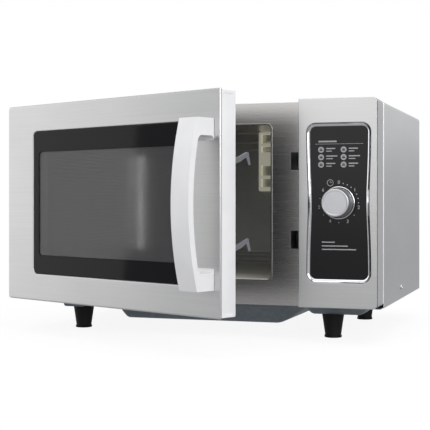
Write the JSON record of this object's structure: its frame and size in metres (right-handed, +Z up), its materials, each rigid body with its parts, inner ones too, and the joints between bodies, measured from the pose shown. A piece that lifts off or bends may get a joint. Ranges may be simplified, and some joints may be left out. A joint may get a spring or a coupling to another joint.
{
  "type": "microwave oven",
  "caption": "Countertop microwave oven with a side-hinged glazed door, bowed pull handle, rotary timer knob on a tall control panel, flat ceramic cavity floor and tapered feet.",
  "frame": {"origin": "on the ground at the feet's undersides, under the middle of the oven's box as it stands with its door 25 degrees ajar", "axes": "+Z up, +Y from the control fascia towards the rear panel, +X to the right as seen from the front"},
  "size_m": [0.524, 0.5942, 0.3134],
  "materials": {
    "brushed_steel": "brushed stainless sheet",
    "cavity_steel": "drawn stainless oven box",
    "zinc_steel": "zinc plated steel",
    "pan_steel": "galvanised steel",
    "bright_steel": "plain steel",
    "chrome_trim": "bright chrome",
    "black_gloss": "glossy printed overlay",
    "silver_plastic": "silver painted plastic",
    "white_plastic": "white moulded plastic",
    "grey_plastic": "dark grey moulded plastic",
    "black_plastic": "black moulded plastic",
    "cream_plastic": "cream moulded plastic",
    "smoked_glass": "dark bordered glass",
    "clear_film": "clear plastic film and lamp glass",
    "screen_steel": "perforated screen, black enamel",
    "shelf_ceramic": "smooth glass ceramic",
    "foot_rubber": "black rubber",
    "copper_winding": "enamelled copper wire",
    "aluminium": "plain aluminium",
    "core_iron": "varnished laminations",
    "board_green": "coated circuit board"
  },
  "bodies": {
    "cabinet": {"fascia_plate": "brushed_steel", "outer_wrapper": "brushed_steel", "front_frame": "brushed_steel", "cavity_liner": "cavity_steel", "rear_panel": "zinc_steel", "upper_hinge_bracket": "zinc_steel", "lower_hinge_bracket": "zinc_steel", "antenna_motor": "zinc_steel", "magnetron": "zinc_steel", "capacitor_clamp": "zinc_steel", "base_pan": "pan_steel", "upper_hinge_pin": "bright_steel", "lower_hinge_pin": "bright_steel", "side_screw": "bright_steel", "panel_bezel": "chrome_trim", "control_overlay": "black_gloss", "fascia_housing": "silver_plastic", "timer_body": "black_plastic", "interlock_bracket": "black_plastic", "primary_switch": "black_plastic", "secondary_switch": "black_plastic", "monitor_switch": "black_plastic", "fan_duct": "black_plastic", "lamp_cover": "cream_plastic", "oven_lamp": "clear_film", "ceramic_shelf": "shelf_ceramic", "lamp_holder": "shelf_ceramic", "foot_front_left": "foot_rubber", "foot_front_right": "foot_rubber", "foot_rear_left": "foot_rubber", "foot_rear_right": "foot_rubber", "cord_grommet": "foot_rubber", "transformer_primary": "copper_winding", "transformer_secondary": "copper_winding", "waveguide": "aluminium", "capacitor": "aluminium", "transformer_core": "core_iron", "fan_motor": "core_iron", "control_board": "board_green", "filter_board": "board_green"},
    "door": {"door_skin": "brushed_steel", "door_core": "white_plastic", "upper_door_lug": "zinc_steel", "lower_door_lug": "zinc_steel", "door_window": "smoked_glass", "window_screen": "screen_steel", "inner_film": "clear_film", "choke_cover": "grey_plastic", "door_handle": "silver_plastic"},
    "latch": {"latch_plate": "silver_plastic", "latch_spring": "bright_steel"},
    "timer_dial": {"timer_knob": "silver_plastic", "knob_skirt": "chrome_trim", "timer_spindle": "bright_steel"},
    "stirrer": {"stirrer_antenna": "aluminium"},
    "fan": {"fan_blade": "white_plastic"},
    "primary_plunger": {"primary_switch_plunger": "cream_plastic"},
    "secondary_plunger": {"secondary_switch_plunger": "cream_plastic"},
    "monitor_plunger": {"monitor_switch_plunger": "cream_plastic"}
  },
  "joints": [
    {"name": "door_swing", "type": "hinge", "parent": "cabinet", "child": "door", "pos_m": [-0.2472, -0.06708, 0.1795], "axis": [0, 0, -1], "range_deg": [-25, 70]},
    {"name": "latch_slide", "type": "slide", "parent": "door", "child": "latch", "axis": [0, 0, 1], "range_m": [0, 0.004], "stiffness_N_per_m": 300, "springref_m": -0.003, "deforming": ["latch_spring"]},
    {"name": "timer_turn", "type": "hinge", "parent": "cabinet", "child": "timer_dial", "pos_m": [0.2108, -0.09458, 0.1798], "axis": [0, 1, 0], "range_deg": [0, 310]},
    {"name": "stirrer_spin", "type": "hinge", "parent": "cabinet", "child": "stirrer", "pos_m": [-0.0537, 0.10542, 0.0556], "axis": [0, 0, 1], "continuous": true},
    {"name": "fan_spin", "type": "hinge", "parent": "cabinet", "child": "fan", "pos_m": [0.1893, 0.25542, 0.2356], "axis": [0, 1, 0], "continuous": true},
    {"name": "primary_press", "type": "slide", "parent": "cabinet", "child": "primary_plunger", "axis": [0, 1, 0], "range_m": [0, 0.0015], "stiffness_N_per_m": 300, "springref_m": -0.001},
    {"name": "secondary_press", "type": "slide", "parent": "cabinet", "child": "secondary_plunger", "axis": [0, 1, 0], "range_m": [0, 0.0015], "stiffness_N_per_m": 300, "springref_m": -0.001},
    {"name": "monitor_press", "type": "slide", "parent": "cabinet", "child": "monitor_plunger", "axis": [0, 1, 0], "range_m": [0, 0.0015], "stiffness_N_per_m": 300, "springref_m": -0.001}
  ]
}
